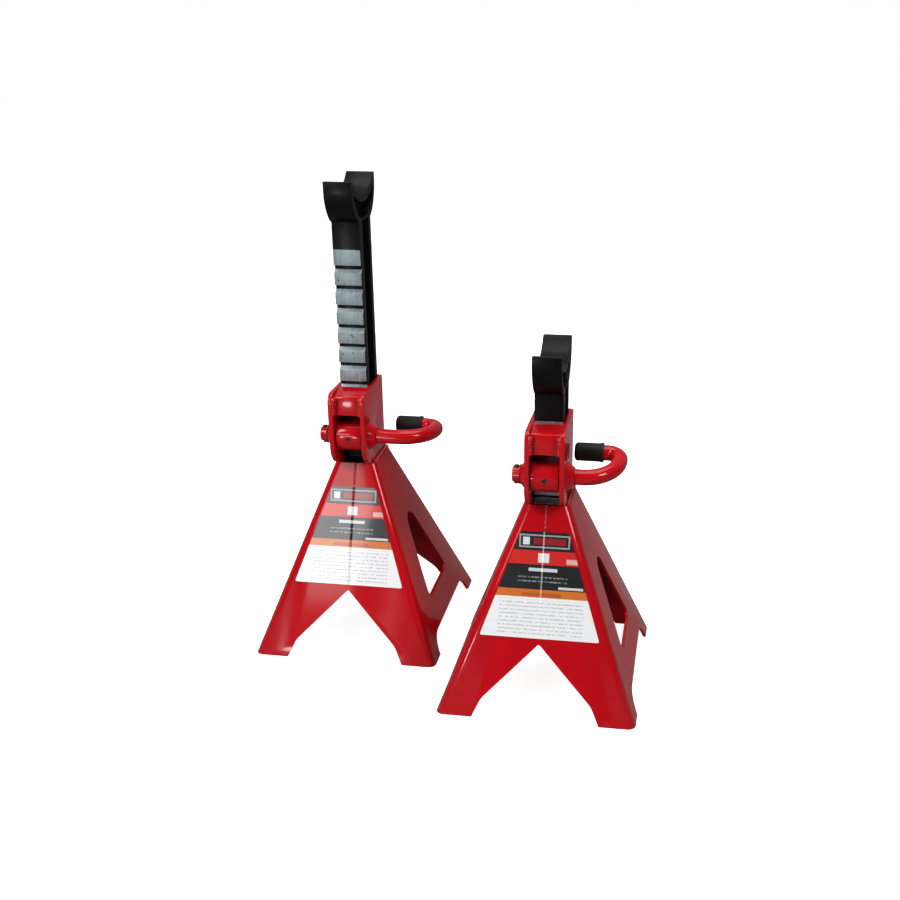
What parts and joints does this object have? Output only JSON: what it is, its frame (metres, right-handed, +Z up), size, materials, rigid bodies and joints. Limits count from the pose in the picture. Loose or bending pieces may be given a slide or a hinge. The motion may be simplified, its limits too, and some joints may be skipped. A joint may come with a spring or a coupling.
{
  "type": "axle jack stands",
  "caption": "Pair of ratchet axle stands: pressed pyramid base, welded tower, toothed cast column with crescent saddle, and a pawl on a bent lever.",
  "frame": {"origin": "on the floor, midway between the two stands", "axes": "+Z up; -Y is the front, where the labels and pawls face; +X to the right, the side the levers reach to"},
  "size_m": [0.324, 0.241, 0.3819],
  "materials": {
    "red_paint": "gloss red enamel",
    "black_casting": "black paint on ductile iron, tooth faces zinc grey",
    "bare_steel": "dark oiled steel",
    "grip": "dipped black vinyl",
    "label": "printed film, plain colour bands"
  },
  "bodies": {
    "left_stand": {"left_base_near": "red_paint", "left_base_far": "red_paint", "left_front_seam": "red_paint", "left_rear_seam": "red_paint", "left_tower": "red_paint", "left_cap_plate": "red_paint", "left_cap_welds": "red_paint", "left_foot_welds": "red_paint", "left_label": "label"},
    "left_column": {"left_column": "black_casting"},
    "left_lever": {"left_pawl": "red_paint", "left_lever_rod": "red_paint", "left_grip": "grip", "left_pawl_pin": "bare_steel", "left_end_pin": "bare_steel", "left_washer": "red_paint"},
    "right_stand": {"right_base_near": "red_paint", "right_base_far": "red_paint", "right_front_seam": "red_paint", "right_rear_seam": "red_paint", "right_tower": "red_paint", "right_cap_plate": "red_paint", "right_cap_welds": "red_paint", "right_foot_welds": "red_paint", "right_label": "label"},
    "right_column": {"right_column": "black_casting"},
    "right_lever": {"right_pawl": "red_paint", "right_lever_rod": "red_paint", "right_grip": "grip", "right_pawl_pin": "bare_steel", "right_end_pin": "bare_steel", "right_washer": "red_paint"}
  },
  "joints": [
    {"name": "right_stand_place", "type": "slide", "parent": "left_stand", "child": "right_stand", "axis": [1, 0, 0], "range_m": [0, 0.3]},
    {"name": "left_column_lift", "type": "slide", "parent": "left_stand", "child": "left_column", "axis": [0, 0, 1], "range_m": [-0.1099, 0.0314]},
    {"name": "left_pawl_turn", "type": "hinge", "parent": "left_stand", "child": "left_lever", "pos_m": [-0.08475, 0.00625, 0.1795], "axis": [1, 0, 0], "range_deg": [-16, 29]},
    {"name": "right_column_lift", "type": "slide", "parent": "right_stand", "child": "right_column", "axis": [0, 0, 1], "range_m": [0, 0.1413]},
    {"name": "right_pawl_turn", "type": "hinge", "parent": "right_stand", "child": "right_lever", "pos_m": [0.08475, -0.06225, 0.1795], "axis": [1, 0, 0], "range_deg": [-16, 29]}
  ]
}
